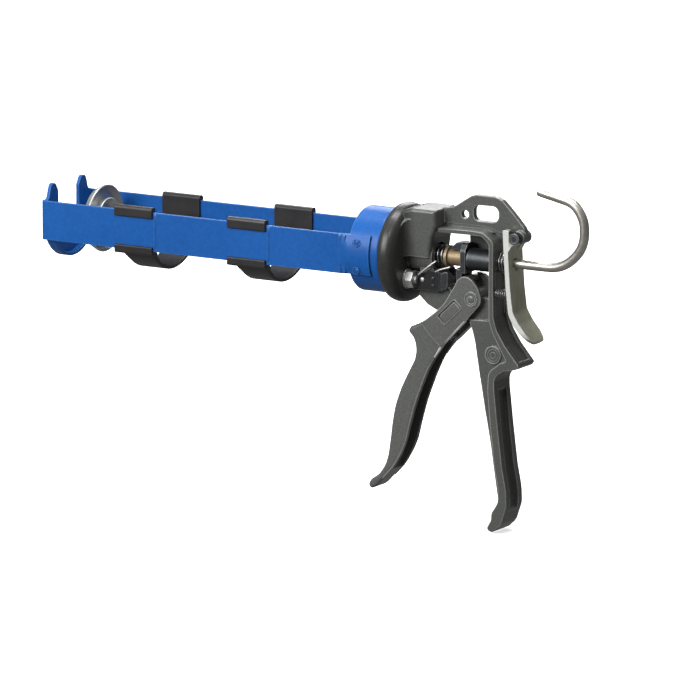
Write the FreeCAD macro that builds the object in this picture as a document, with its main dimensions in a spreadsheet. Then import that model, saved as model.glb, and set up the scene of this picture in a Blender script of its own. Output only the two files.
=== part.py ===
import FreeCAD, Part
import math
import os

# Drip-free skeleton caulking gun for 310 ml cartridges.
# Frame: X runs along the thrust rod towards the hook, Z is up and Y is across.
# The origin is on the rod axis, in the mid-plane of the front plate.

V = FreeCAD.Vector
doc = FreeCAD.newDocument("caulking_gun")

# ---------------------------------------------------------------- dimensions
DIMS = [
    # cradle
    ("strap_height", 25.0), ("strap_thick", 1.6), ("strap_out", 26.8),
    ("plate_thick", 2.2), ("plate_low", 26.3), ("slot_half", 12.0),
    ("prong_top", 22.5), ("ring_front", 224.2), ("ring_rear", 246.3),
    ("ring_out", 26.7), ("ring_in", 25.2), ("strap_end", 240.0),
    ("rivet_rad", 1.5),
    # saddles
    ("saddle_a", 53.7), ("saddle_b", 137.2), ("saddle_len", 30.6),
    ("saddle_foot", 27.6),
    # head of the casting
    ("flange_front", 247.2), ("flange_rear", 257.8), ("flange_rad", 31.0),
    ("spigot_rad", 13.95), ("spigot_front", 244.5), ("web_bore", 14.02),
    ("retainer_rad", 22.0), ("retainer_thick", 2.0),
    ("washer_rad", 27.9), ("block_half", 13.2), ("block_rear", 279.4),
    ("spring_bore", 8.6), ("spring_seat", 266.0), ("bush_rad", 5.0),
    # frame and grip
    ("wall_half", 10.0), ("web_half", 6.0), ("panel_half", 7.7),
    ("bridge_half", 2.0), ("rib_half", 1.7), ("wall_in", 315.7),
    ("wall_out", 318.6), ("badge_rad", 5.8),
    # rod, piston
    ("rod_rad", 3.0), ("rod_front", 21.0), ("hook_start", 349.0),
    ("piston_rad", 22.0), ("piston_front", 24.4),
    # mechanism
    ("pivot_x", 303.3), ("pivot_z", -23.3), ("pivot_pin_rad", 2.5),
    ("pivot_boss_rad", 6.0), ("cheek_out", 10.2), ("cheek_in", 8.0),
    ("trigger_half", 8.0), ("driver_front", 281.5), ("driver_mid", 290.6),
    ("driver_rear", 294.3), ("driver_rad", 7.1), ("driver_bush", 5.4), ("bar_rad", 2.6),
    ("sleeve_rad", 7.0), ("sleeve_front", 297.6), ("run_bore", 3.06),
    ("lever_thick", 3.0), ("lever_half", 9.1), ("lever_hole", 3.4),
    ("hinge_x", 333.5), ("hinge_z", 17.2), ("hinge_pin_rad", 2.3),
]
sheet = doc.addObject("Spreadsheet::Sheet", "Dims")
D = {}
for row, (name, value) in enumerate(DIMS, start=1):
    sheet.set("A%d" % row, name)
    sheet.set("B%d" % row, str(value))
    sheet.setAlias("B%d" % row, name)
    D[name] = value
doc.recompute()

NODES = {}


def bind(obj, prop, expression):
    obj.setExpression(prop, expression)


def keep(obj, node):
    obj.Label = node
    NODES[node] = obj
    return obj


# ---------------------------------------------------------------- sketch helpers
def segments(points, closed=True):
    """Lines and tangent corner arcs through (a, b) or (a, b, radius) points."""
    pts = [(p[0], p[1], p[2] if len(p) > 2 else 0.0) for p in points]
    n = len(pts)
    starts, ends, arcs = [], [], []
    for i in range(n):
        a, b, r = pts[i]
        if r <= 0 or (not closed and i in (0, n - 1)):
            starts.append(V(a, b, 0))
            ends.append(V(a, b, 0))
            arcs.append(None)
            continue
        pa, pb, _ = pts[i - 1]
        na, nb, _ = pts[(i + 1) % n]
        u = V(pa - a, pb - b, 0)
        w = V(na - a, nb - b, 0)
        lu, lw = u.Length, w.Length
        u.normalize()
        w.normalize()
        ang = math.acos(max(-1.0, min(1.0, u.dot(w))))
        if abs(math.pi - ang) < 0.01:
            starts.append(V(a, b, 0))
            ends.append(V(a, b, 0))
            arcs.append(None)
            continue
        cut = r / math.tan(ang / 2)
        lim = 0.49 * min(lu, lw)
        if cut > lim:
            cut = lim
            r = cut * math.tan(ang / 2)
        t1 = V(a, b, 0) + u * cut
        t2 = V(a, b, 0) + w * cut
        bis = u + w
        bis.normalize()
        centre = V(a, b, 0) + bis * (r / math.sin(ang / 2))
        mid = centre - bis * r
        starts.append(t1)
        ends.append(t2)
        arcs.append((t1, mid, t2))
    out = []
    count = n if closed else n - 1
    for i in range(n):
        if arcs[i]:
            out.append(Part.Arc(*arcs[i]))
        if i < count:
            p, q = ends[i], starts[(i + 1) % n]
            if (q - p).Length > 1e-6:
                out.append(Part.LineSegment(p, q))
    return out


def plane_of(body, role):
    for f in body.Origin.OriginFeatures:
        if f.Role == role:
            return f


def new_sketch(body, name, role, offset=None):
    sk = body.newObject("Sketcher::SketchObject", name)
    sk.AttachmentSupport = (plane_of(body, role), [""])
    sk.MapMode = "FlatFace"
    if offset:
        sk.setExpression(".AttachmentOffset.Base.z", offset)
    return sk


def circle(sk, a, b, alias, named):
    """A circle whose radius is a cell of the sheet."""
    i = sk.addGeometry(Part.Circle(V(a, b, 0), V(0, 0, 1), D[alias]), False)
    j = sk.addConstraint(Constraint("Radius", i, D[alias]))
    sk.renameConstraint(j, named)
    sk.setExpression("Constraints." + named, "Dims." + alias)
    return i


import Sketcher
Constraint = Sketcher.Constraint


def pad(label, role, loops, length, offset=None, circles=(), symmetric=False):
    """A body with one padded sketch; length and offset are expressions."""
    body = doc.addObject("PartDesign::Body", label)
    sk = new_sketch(body, label + "_sketch", role, offset)
    for loop in loops:
        sk.addGeometry(segments(loop), False)
    for k, (a, b, alias) in enumerate(circles):
        circle(sk, a, b, alias, "rad%d" % k)
    p = body.newObject("PartDesign::Pad", label + "_pad")
    p.Profile = sk
    p.Length = 1.0
    p.setExpression("Length", length)
    if symmetric:
        p.SideType = "Symmetric"
    body.Tip = p
    return body


def revolve(label, points, role="XZ_Plane", axis="H_Axis"):
    """A body turned about the X axis from an (x, r) outline."""
    body = doc.addObject("PartDesign::Body", label)
    sk = new_sketch(body, label + "_sketch", role)
    sk.addGeometry(segments(points), False)
    r = body.newObject("PartDesign::Revolution", label + "_turn")
    r.Profile = sk
    r.ReferenceAxis = (sk, [axis])
    r.Angle = 360.0
    body.Tip = r
    return body


def rod(label, x, y, z, axis, radius, length, centre=False):
    """Part cylinder along X, Y or Z; radius and length are expressions."""
    c = doc.addObject("Part::Cylinder", label)
    c.setExpression("Radius", radius)
    c.setExpression("Height", length)
    rot = {"X": FreeCAD.Rotation(V(0, 1, 0), 90),
           "Y": FreeCAD.Rotation(V(1, 0, 0), -90),
           "Z": FreeCAD.Rotation()}[axis]
    c.Placement = FreeCAD.Placement(V(x, y, z), rot)
    return c


def block(label, lo, hi):
    b = doc.addObject("Part::Box", label)
    b.Length, b.Width, b.Height = [hi[k] - lo[k] for k in range(3)]
    b.Placement = FreeCAD.Placement(V(*lo), FreeCAD.Rotation())
    return b


def fuse(label, *objs):
    f = doc.addObject("Part::MultiFuse", label)
    f.Shapes = list(objs)
    f.Refine = True
    return f


def cut(label, base, *tools):
    t = tools[0] if len(tools) == 1 else fuse(label + "_tools", *tools)
    c = doc.addObject("Part::Cut", label)
    c.Base, c.Tool = base, t
    c.Refine = True
    return c


def common(label, a, b):
    c = doc.addObject("Part::MultiCommon", label)
    c.Shapes = [a, b]
    return c


def shape(label, solid):
    """A feature whose shape comes from Part's own functions."""
    f = doc.addObject("Part::Feature", label)
    f.Shape = solid
    return f


def round_edges(label, base, radius, test):
    """Part::Fillet on the edges that test(edge) picks."""
    doc.recompute()
    picked = [(i, radius, radius) for i, e in enumerate(base.Shape.Edges, 1)
              if test(e)]
    f = doc.addObject("Part::Fillet", label)
    f.Base = base
    f.Edges = picked
    doc.recompute()
    if f.Shape.isNull() or not f.Shape.isValid() or "Invalid" in f.State:
        print("fillet left out:", label)
        doc.removeObject(f.Name)
        return base
    return f


# ================================================================ cradle
so, st = D["strap_out"], D["strap_thick"]
half = D["strap_height"] / 2

# Front plate: open-topped nozzle slot between two prongs, round lower edge.
low = D["plate_low"]
sl = D["slot_half"]
edge_y = 25.2
arc_y = math.sqrt(low * low - half * half)
body = doc.addObject("PartDesign::Body", "front_plate_body")
sk = new_sketch(body, "front_plate_sketch", "YZ_Plane")
outer = [(-edge_y, -half), (-edge_y, half - 0.4), (-22.6, half + 1.5, 3),
         (-21.3, 18.4, 3), (-19.6, D["prong_top"], 2.6),
         (-15.2, D["prong_top"], 2.6), (-sl, 17.2, 2.5), (-sl, 0)]
left = segments(outer, closed=False)
right = segments([(-a, b) + tuple(c) for a, b, *c in outer][::-1], closed=False)
sk.addGeometry(left, False)
sk.addGeometry([Part.Arc(V(-sl, 0, 0), V(0, -sl, 0), V(sl, 0, 0))], False)
sk.addGeometry(right, False)
sk.addGeometry([Part.LineSegment(V(edge_y, -half, 0), V(arc_y, -half, 0)),
                Part.Arc(V(arc_y, -half, 0), V(0, -low, 0), V(-arc_y, -half, 0)),
                Part.LineSegment(V(-arc_y, -half, 0), V(-edge_y, -half, 0))], False)
p = body.newObject("PartDesign::Pad", "front_plate_pad")
p.Profile = sk
p.setExpression("Length", "Dims.plate_thick")
p.SideType = "Symmetric"
body.Tip = p
# The lower edge is turned back into a short rim.
rim = revolve("front_rim", [(D["plate_thick"] / 2 - 0.6, low - 1.8), (4.6, low - 1.8),
                            (4.6, low), (D["plate_thick"] / 2 - 0.6, low)])
rim_cut = block("front_rim_keep", (-1, -30, -30), (8, 30, -half - 0.05))
front = fuse("front_plate_join", body, common("front_rim_low", rim, rim_cut))
keep(front, "front_plate")


# Straps: bent round the front plate, flat along the bay, rolled onto the ring.
def strap(node, side):
    s = side
    outline = [(-1.1 - st, s * 18.5), (-1.1 - st, s * so, 2.6), (217.0, s * so),
               (217.0, s * (so - st)), (-1.1, s * (so - st)), (-1.1, s * 18.5)]
    flat = pad(node + "_flat", "XY_Plane", [outline], "Dims.strap_height",
               symmetric=True)
    # transition from flat to curved
    r0, r1 = D["ring_out"], D["ring_out"] + 1.4

    def arc_wire(x):
        def at(r, z):
            return V(x, s * math.sqrt(r * r - z * z), z)
        a = Part.Arc(at(r0, -half), V(x, s * r0, 0), at(r0, half)).toShape()
        b = Part.Arc(at(r1, -half), V(x, s * r1, 0), at(r1, half)).toShape()
        return Part.Wire([a, Part.makeLine(at(r0, half), at(r1, half)), b,
                          Part.makeLine(at(r1, -half), at(r0, -half))])
    y0, y1 = s * (so - st), s * so
    flat_wire = Part.Wire([
        Part.makeLine(V(217, y0, -half), V(217, y0, half)),
        Part.makeLine(V(217, y0, half), V(217, y1, half)),
        Part.makeLine(V(217, y1, half), V(217, y1, -half)),
        Part.makeLine(V(217, y1, -half), V(217, y0, -half))])
    x_arc = D["ring_front"] - 0.2
    blend = shape(node + "_blend", Part.makeLoft([flat_wire, arc_wire(x_arc)],
                                                 True, True))
    end = shape(node + "_end", Part.Face(arc_wire(x_arc)).extrude(
        V(D["strap_end"] - x_arc, 0, 0)))
    joined = fuse(node + "_joined", flat, blend, end)
    # two rivet holes through the rolled end
    h1 = rod(node + "_hole1", 231.0, s * 20.0, 8.0, "Y", "Dims.rivet_rad",
             "10 mm")
    h2 = rod(node + "_hole2", 231.0, s * 20.0, -9.5, "Y", "Dims.rivet_rad",
             "10 mm")
    if s < 0:
        for hh in (h1, h2):
            hh.Placement.Base = V(231.0, -30, hh.Placement.Base.z)
    keep(cut(node + "_cut", joined, h1, h2), node)


strap("near_strap", -1)
strap("far_strap", 1)

# Ring: drawn collar with an inward web at the rear that runs on the spigot.
ro, ri = D["ring_out"], D["ring_in"]
rf, rr = D["ring_front"], D["ring_rear"]
ring = revolve("ring_turn", [(rf, ri), (rf, ro), (rr, ro, 2.2), (rr, D["web_bore"]),
                             (rr - 1.7, D["web_bore"]), (rr - 1.7, ri, 1.2)])
ring_holes = []
for k, (sy, sz) in enumerate([(-1, 8.0), (-1, -9.5), (1, 8.0), (1, -9.5)]):
    hh = rod("ring_hole%d" % k, 231.0, 20.0 if sy > 0 else -30.0, sz, "Y",
             "Dims.rivet_rad", "10 mm")
    ring_holes.append(hh)
keep(cut("ring_cut", ring, *ring_holes), "carriage_ring")

# Rivets joining the straps to the ring, set nearly flush at both ends.
doc.recompute()
shell = NODES["carriage_ring"].Shape
rivets = []
for k, (sy, sz) in enumerate([(-1, 8.0), (-1, -9.5), (1, 8.0), (1, -9.5)]):
    y_out = math.sqrt((ro + 1.4) ** 2 - sz ** 2)
    y_in = math.sqrt(ri ** 2 - sz ** 2)
    shank = Part.makeCylinder(D["rivet_rad"], y_out - y_in + 1.0,
                              V(0, y_in - 0.6, 0), V(0, 1, 0))
    head = Part.makeSphere(3.0, V(0, y_out - 2.1, 0)).common(
        Part.makeCylinder(2.2, 3, V(0, y_out - 0.6, 0), V(0, 1, 0)))
    inner = Part.makeCylinder(2.4, 1.6, V(0, y_in - 1.6, 0), V(0, 1, 0))
    solid = shank.fuse([head, inner]).removeSplitter()
    if sy < 0:
        solid = solid.mirror(V(0, 0, 0), V(0, 1, 0))
    solid.translate(V(231.0, 0, sz))
    solid = solid.cut(shell).cut(NODES["near_strap" if sy < 0 else "far_strap"].Shape)
    rivets.append(max(solid.Solids, key=lambda q: q.Volume))
keep(shape("strap_rivets_all", Part.makeCompound(rivets)), "strap_rivets")


# Saddles: one-piece moulded cradles clipped over both straps.
def saddle(node, alias):
    """Constant section in YZ: wings inside, caps over and lips under the
    straps, and a trough below."""
    w_in, w_out = so - st - 0.05, so + 0.05
    gap = 0.0
    foot = D["saddle_foot"]
    t = 1.8
    pts_r = [
        (w_in - 1.6, 12.0), (w_in - 1.6, 14.2, 1.0), (w_in - 0.4, 15.6, 1.2),
        (w_out + 1.0, 15.6, 1.2), (w_out + 1.7, 14.0, 0.8), (w_out + 1.7, 8.6, 0.8),
        (w_out, 8.6, 0.4), (w_out, 12.55), (w_in, 12.55), (w_in, -12.55),
        (w_out, -12.55), (w_out, -9.6, 0.4), (w_out + 1.7, -9.6, 0.8),
        (w_out + 1.7, -15.0, 1.3), (w_in - 0.5, -15.3, 0.8)]
    body = doc.addObject("PartDesign::Body", node + "_body")
    sk = new_sketch(body, node + "_sketch", "YZ_Plane", "Dims." + alias)
    right = segments(pts_r, closed=False)
    left = segments([(-a, b) + tuple(c) for a, b, *c in pts_r][::-1], closed=False)
    a_out = pts_r[-1]
    # outer trough arc through the foot, inner trough arc 1.8 mm above it
    sk.addGeometry(right, False)
    sk.addGeometry([Part.Arc(V(a_out[0], a_out[1], 0), V(0, -foot, 0),
                             V(-a_out[0], a_out[1], 0))], False)
    sk.addGeometry(left, False)
    sk.addGeometry([
        Part.LineSegment(V(-(w_in - 1.6), 12.0, 0), V(-(w_in - 1.6), -11.0, 0)),
        Part.Arc(V(-(w_in - 1.6), -11.0, 0), V(0, -(foot - t), 0),
                 V(w_in - 1.6, -11.0, 0)),
        Part.LineSegment(V(w_in - 1.6, -11.0, 0), V(w_in - 1.6, 12.0, 0))], False)
    p = body.newObject("PartDesign::Pad", node + "_pad")
    p.Profile = sk
    p.setExpression("Length", "Dims.saddle_len")
    body.Tip = p
    # The near clips sit a little ahead of the far ones, and the trough is
    # shorter than both.
    x0 = D[alias]
    x1 = x0 + D["saddle_len"]
    near = block(node + "_near_end", (x1 - 2.9, -35, -16.0), (x1 + 2, 0, 20))
    far = block(node + "_far_end", (x0 - 2, 0, -16.0), (x0 + 2.9, 35, 20))
    tool1 = pad(node + "_trim", "XZ_Plane",
                [[(x0 - 2, -15.9), (x0 + 4.6, -15.9), (x0 + 6.4, -20.0, 3.0),
                  (x0 + 7.0, -29.0), (x0 - 2, -29.0)],
                 [(x1 + 2, -15.9), (x1 - 3.6, -15.9), (x1 - 5.0, -29.0), (x1 + 2, -29.0)]],
                "60 mm", symmetric=True)
    keep(cut(node + "_cut", body, tool1, near, far), node)


saddle("front_saddle", "saddle_a")
saddle("rear_saddle", "saddle_b")

# ================================================================ casting
ff, fr, FR = D["flange_front"], D["flange_rear"], D["flange_rad"]
flange = revolve("flange_turn", [(D["spigot_front"], 0), (D["spigot_front"], D["spigot_rad"]),
                                 (ff, D["spigot_rad"]), (ff, FR - 0.6, 1.6),
                                 (ff + 3.6, FR + 0.3, 5.0), (fr - 2.2, FR - 0.6, 5.0),
                                 (fr, FR - 4.6, 3.0), (fr, 0)])
bh = D["block_half"]
WALL_X = 292.2
head_side = [(256.5, 0.3), (256.5, 29.0), (262.0, 30.4, 2.0),
             (D["block_rear"] - 0.3, 30.4, 1.2), (D["block_rear"], 20.0, 3.0),
             (276.2, 12.0, 6.0), (275.0, 4.0, 3), (275.0, 0.3)]
head = pad("head_block", "XZ_Plane", [head_side], "2 * Dims.block_half", symmetric=True)
head = round_edges("head_round", head, 2.2, lambda e: (
    e.BoundBox.ZMin > 29.5 and e.BoundBox.XLength > 10
    and abs(abs(e.BoundBox.YMin) - bh) < 0.01 and e.BoundBox.YLength < 0.01))
lower = pad("head_lower", "XZ_Plane",
            [[(256.5, 1.0), (256.5, -22.4), (264.5, -22.4, 2.0), (268.0, -18.0, 3.0),
              (275.0, -12.0, 3.0), (275.0, 1.0)]], "2 * 3.9 mm", symmetric=True)
lower_wide = pad("head_lower_wide", "XZ_Plane",
                 [[(266.2, 1.0), (266.2, -17.5, 1.5), (270.0, -20.5, 3.0),
                   (282.0, -20.5, 1.5), (282.0, -15.0, 3.0), (275.6, -10.5, 3.0),
                   (275.6, 1.0)]], "2 * 8.8 mm", symmetric=True)
boss_head = rod("head_boss", fr - 1.5, 0, 0, "X", "11.2 mm", "277 - Dims.flange_rear")

# Window frame: flat strip all round the window, seen edge on from the side.
frame = pad("frame_strip", "XZ_Plane", [[
    (276.0, 16.6), (276.0, 19.1), (303.0, 19.7), (311.5, 19.2, 6.0), (318.6, 14.0, 5.0),
    (318.6, -14.9), (319.0, -33.8, 9.0), (321.5, -41.7, 9.0), (327.2, -50.5, 14.0),
    (337.2, -62.2, 1.2), (335.2, -64.6, 1.6), (326.6, -66.2, 9.0), (319.6, -71.0, 7.0),
    (319.6, -78.2, 20), (322.4, -103.2, 60), (325.6, -128.0, 60), (328.4, -142.0, 30),
    (328.8, -152.0, 12.0), (324.8, -163.7, 9.0), (319.0, -169.2, 2.5), (314.2, -167.6, 2.0),
    (317.8, -161.5, 4.0), (318.0, -157.0, 4.0), (322.6, -150.0, 8.0),
    (323.0, -142.0, 30), (320.2, -128.0, 60), (317.2, -103.2, 60), (315.0, -79.0, 8.0),
    (315.6, -68.0, 7.0), (324.0, -61.4, 5.0), (328.6, -60.2, 1.5), (324.4, -53.6, 14.0),
    (318.6, -43.5, 9.0), (315.8, -35.5, 9.0), (315.7, -15.2), (315.7, 12.5, 4.2),
    (310.6, 16.9, 4.2), (300.0, 16.9)]],
    "2 * Dims.wall_half", symmetric=True)

# Web: gusset under the mechanism, running back to the rear wall.
web = pad("web_plate", "XZ_Plane", [[
    (264.2, -16.0), (264.2, -25.4), (265.2, -26.3), (269.6, -30.3, 10),
    (276.5, -33.6, 20), (290.0, -35.6, 20), (301.6, -37.4), (316.5, -37.0),
    (316.5, -22.5), (288.0, -22.5, 2.0), (286.0, -19.6, 2.0), (276.0, -16.0)]],
    "2 * Dims.web_half", symmetric=True)

# Grip panel, front edge rounded.
panel = pad("grip_panel", "XZ_Plane", [[
    (300.4, -36.6, 1.2), (303.1, -43.9, 8.0), (304.8, -50.4, 20.0), (307.5, -66.8, 60),
    (311.9, -91.6, 80), (315.6, -110.3, 80), (318.5, -129.0, 80), (321.5, -147.7, 40),
    (322.4, -156.0, 5.0), (319.4, -162.6, 5.0), (316.4, -167.4, 1.2), (320.0, -168.8, 2.5),
    (325.0, -162.0, 6.0), (326.4, -150.0, 20), (326.0, -141.0, 30), (323.2, -126.0, 60),
    (320.0, -101.0, 60), (317.4, -80.0, 10.0), (317.0, -69.5, 6.0), (325.0, -63.6, 5.0),
    (332.0, -61.6), (325.0, -51.5), (319.0, -42.0), (316.5, -35.9)]],
    "2 * Dims.panel_half", symmetric=True)

# Bridge over the window: hang hole and obround slot, thin rib below it.
bridge = pad("bridge_plate", "XZ_Plane", [
    [(277.0, 21.5), (277.0, 30.5), (280.3, 30.8, 6.0), (286.4, 32.1, 6.0), (298.4, 39.9, 8.0),
     (301.8, 40.8, 3.0), (316.2, 40.8, 6.0), (320.8, 38.7, 5.0), (328.8, 30.9, 30.0),
     (336.2, 22.9, 6.0), (337.6, 18.1, 2.0), (336.4, 13.1, 3.3), (329.2, 13.1, 3.3),
     (329.2, 19.4, 1.5), (316.6, 19.4, 4.0), (311.4, 20.9, 3.0), (307.3, 21.5, 3.0)],
    [(300.2, 29.6 - 5.0, 3.9), (300.2, 29.6 + 5.0, 3.9), (318.1, 29.6 + 5.2, 4.4),
     (318.1, 29.6 - 5.0, 4.4)]],
    "2 * Dims.bridge_half", symmetric=True)
hang = rod("hang_bore", 294.1, -6, 28.0, "Y", "2.7 mm", "12 mm")
rib = pad("bridge_rib", "XZ_Plane", [[(276.0, 17.0), (276.0, 23.5), (313.0, 23.0),
                                      (326.0, 21.0), (326.0, 19.3), (310.0, 17.6)]],
          "2 * Dims.rib_half", symmetric=True)
knuckle = rod("hinge_knuckle", D["hinge_x"], -5.0, D["hinge_z"], "Y", "4.2 mm", "9 mm")
# Far side of the window is closed behind the rod sleeve; hollow corners blend the head
# block into the flange.
far_wall = block("window_far_wall", (WALL_X, 7.6, -6.9), (316.4, 9.9, 18.4))
blends = []
for sgn in (-1, 1):
    bl = Part.Wire([
        Part.makeLine(V(256.6, sgn * 11.0, 0.3), V(256.6, sgn * 18.2, 0.3)),
        Part.makeLine(V(256.6, sgn * 18.2, 0.3), V(fr, sgn * 18.2, 0.3)),
        Part.Arc(V(fr, sgn * 18.2, 0.3), V(fr + 1.4645, sgn * 14.6645, 0.3),
                 V(fr + 5.0, sgn * 13.2, 0.3)).toShape(),
        Part.makeLine(V(fr + 5.0, sgn * 13.2, 0.3), V(fr + 5.0, sgn * 11.0, 0.3)),
        Part.makeLine(V(fr + 5.0, sgn * 11.0, 0.3), V(256.6, sgn * 11.0, 0.3))])
    blends.append(Part.Face(bl).extrude(V(0, 0, 27.0)))
blend_keep = Part.makeCylinder(FR - 4.0, 20, V(250, 0, 0), V(1, 0, 0))
blend = shape("head_blend", blends[0].fuse(blends[1]).common(blend_keep))
boss = rod("pivot_boss", D["pivot_x"], -7.7, D["pivot_z"], "Y",
           "Dims.pivot_boss_rad", "2 * Dims.panel_half")
badge_a = rod("badge_near", 318.0, -8.3, -57.4, "Y", "Dims.badge_rad", "1.2 mm")
badge_b = rod("badge_far", 318.0, 7.1, -57.4, "Y", "Dims.badge_rad", "1.2 mm")
wall_boss = rod("wall_boss", 314.7, 0, 0, "X", "7.6 mm", "3 mm")

solid_cast = fuse("casting_solid", flange, head, lower, lower_wide, boss_head, frame, web, panel,
                  bridge, rib, knuckle, boss, badge_a, badge_b, far_wall, blend)
rod_bore = rod("cast_rod_bore", 240.0, 0, 0, "X", "Dims.bush_rad", "22 mm")
rod_pass = rod("cast_rod_pass", 261.0, 0, 0, "X", "3.5 mm", "10 mm")
coil_bore = rod("cast_coil_bore", D["spring_seat"], 0, 0, "X", "Dims.spring_bore",
                "14.5 mm")
wall_bore = rod("cast_wall_bore", 310.0, 0, 0, "X", "Dims.bush_rad", "12 mm")
pin_bore = rod("cast_pin_bore", D["pivot_x"], -12, D["pivot_z"], "Y",
               "Dims.pivot_pin_rad", "24 mm")
hinge_bore = rod("cast_hinge_bore", D["hinge_x"], -12, D["hinge_z"], "Y",
                 "Dims.hinge_pin_rad", "24 mm")
peg_bore = rod("cast_peg_bore", 314.0, -5.6, -18.8, "X", "1.2 mm", "6 mm")
# Deep channel up the back of the grip and a shallow one down the rear wall.
channel = pad("grip_channel", "XZ_Plane", [[
    (319.0, -77.5, 3.0), (321.2, -101.0, 60), (324.0, -127.0, 60), (325.8, -142.0, 20),
    (325.6, -153.0, 6.0), (331.5, -160.0), (336.0, -140.0), (330.0, -77.5)]],
    "2 * 5.2 mm", symmetric=True)
channel2 = pad("grip_channel_deep", "XZ_Plane", [[
    (317.6, -80.5, 2.0), (319.4, -101.0, 60), (322.4, -127.0, 60), (324.6, -143.0, 20),
    (325.0, -149.0, 4.0), (331.5, -153.0), (336.0, -140.0), (330.0, -80.5)]],
    "2 * 5.2 mm", symmetric=True)
thumb = pad("thumb_channel", "XZ_Plane", [[
    (317.4, -4.0, 1.0), (317.4, -34.0, 9.0), (320.0, -42.4, 9.0), (325.8, -51.4, 14.0),
    (334.4, -60.6, 0.4), (340.0, -58.0), (330.0, -40.0), (324.0, -20.0), (322.0, -2.0)]],
    "2 * 6.4 mm", symmetric=True)
studs = []
RET = [(-8.6, -5.0), (8.6, -5.0), (0.0, 9.9)]
for k, (y, z) in enumerate(RET):
    studs.append(rod("screw_bore%d" % k, 240.0, y, z, "X", "1.6 mm", "14 mm"))
STUD = [(-10.6, -14.6), (10.6, -14.6), (0.0, 18.6)]
for k, (y, z) in enumerate(STUD):
    if k < 2:
        studs.append(rod("stud_bore%d" % k, 246.0, y, z, "X", "2.5 mm", "22 mm"))
cast = cut("casting_bored", solid_cast, rod_bore, rod_pass, coil_bore, wall_bore, pin_bore,
           hinge_bore, peg_bore, hang)
cast = cut("casting_drilled", cast, *studs)
cast = cut("casting_hollowed", cast, channel, channel2)
cast = cut("casting_cut", cast, thumb)
keep(cast, "body_casting")
doc.recompute()


# ================================================================ head stack
# Red fibre washer between the ring and the flange.
washer = rod("washer_disc", D["ring_rear"], 0, 0, "X", "Dims.washer_rad",
             "Dims.flange_front - Dims.ring_rear")
washer_hole = rod("washer_hole", D["ring_rear"] - 1, 0, 0, "X", "Dims.web_bore", "4 mm")
keep(cut("washer_cut", washer, washer_hole), "friction_washer")

# Retaining disc inside the ring, clamped to the spigot.
rx = D["spigot_front"] - D["retainer_thick"]
disc = rod("retainer_disc", rx, 0, 0, "X", "Dims.retainer_rad", "Dims.retainer_thick")
holes = [rod("retainer_hole", rx - 1, 0, 0, "X", "3.6 mm", "6 mm")]
for k, (y, z) in enumerate(RET):
    holes.append(rod("retainer_hole%d" % k, rx - 1, y, z, "X", "1.6 mm", "6 mm"))
keep(cut("retainer_cut", disc, *holes), "retainer_plate")

# Three pan-head screws through the disc into the spigot.
screws = []
for y, z in RET:
    head_s = Part.makeCylinder(3.0, 1.9, V(rx - 1.9, y, z), V(1, 0, 0))
    shank = Part.makeCylinder(1.6, 9.9, V(rx, y, z), V(1, 0, 0))
    sc = head_s.fuse(shank)
    sc = sc.makeFillet(0.7, [e for e in sc.Edges if abs(e.BoundBox.XMin - (rx - 1.9)) < 1e-6
                             and abs(e.BoundBox.XMax - (rx - 1.9)) < 1e-6])
    slot1 = Part.makeBox(0.9, 3.6, 0.8, V(rx - 2.0, y - 1.8, z - 0.4))
    slot2 = Part.makeBox(0.9, 0.8, 3.6, V(rx - 2.0, y - 0.4, z - 1.8))
    screws.append(sc.cut(slot1.fuse(slot2)))
keep(shape("retainer_screws_all", Part.makeCompound(screws)), "retainer_screws")

# Two hex-nut studs behind the flange hold the head to its backing.
nuts = []
studs_s = []
for y, z in STUD[:2]:
    hexpts = [V(fr + 0.9, y + 5.77 * math.cos(math.radians(a)),
                z + 5.77 * math.sin(math.radians(a))) for a in range(0, 360, 60)]
    wire = Part.makePolygon(hexpts + [hexpts[0]])
    nut = Part.Face(wire).extrude(V(5.0, 0, 0))
    cone = Part.makeCone(5.1, 6.4, 1.3, V(fr + 0.9, y, z), V(1, 0, 0)).fuse(
        Part.makeCylinder(6.4, 2.4, V(fr + 2.2, y, z), V(1, 0, 0))).fuse(
        Part.makeCone(6.4, 5.1, 1.3, V(fr + 4.6, y, z), V(1, 0, 0)))
    nut = nut.common(cone)
    nut = nut.cut(Part.makeCylinder(2.5, 8, V(fr, y, z), V(1, 0, 0)))
    nuts.append(nut)
    stud = Part.makeCylinder(2.5, 17.6, V(ff + 0.2, y, z), V(1, 0, 0))
    studs_s.append(stud)
keep(shape("head_nuts_all", Part.makeCompound(nuts)), "head_nuts")
keep(shape("head_studs_all", Part.makeCompound(studs_s)), "head_studs")
nut_w = []
for y, z in STUD[:2]:
    w = Part.makeCylinder(6.2, 0.9, V(fr, y, z), V(1, 0, 0)).cut(
        Part.makeCylinder(2.5, 3, V(fr - 1, y, z), V(1, 0, 0)))
    nut_w.append(w)
keep(shape("head_washers_all", Part.makeCompound(nut_w)), "head_washers")

# Front guide bush in the head, rear sleeve in the wall.
fb_h = rod("front_bush_bore", 238, 0, 0, "X", "Dims.run_bore", "30 mm")
fb = rod("front_bush_tube", D["spigot_front"], 0, 0, "X", "Dims.bush_rad",
         "262 - Dims.spigot_front")
keep(cut("front_bush_cut", fb, fb_h), "front_bush")
sleeve = rod("sleeve_tube", D["sleeve_front"], 0, 0, "X", "Dims.sleeve_rad",
             "Dims.wall_in - Dims.sleeve_front - 1")
sleeve_spigot = rod("sleeve_spigot", D["wall_in"] - 1.5, 0, 0, "X", "Dims.bush_rad",
                    "1.5 + Dims.wall_out - Dims.wall_in")
sleeve_bore = rod("sleeve_bore", 290, 0, 0, "X", "Dims.run_bore", "34 mm")
sleeve_all = fuse("sleeve_join", sleeve, sleeve_spigot)
sleeve_all = cut("sleeve_cut", sleeve_all, sleeve_bore)
keep(sleeve_all, "rear_sleeve")

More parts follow.
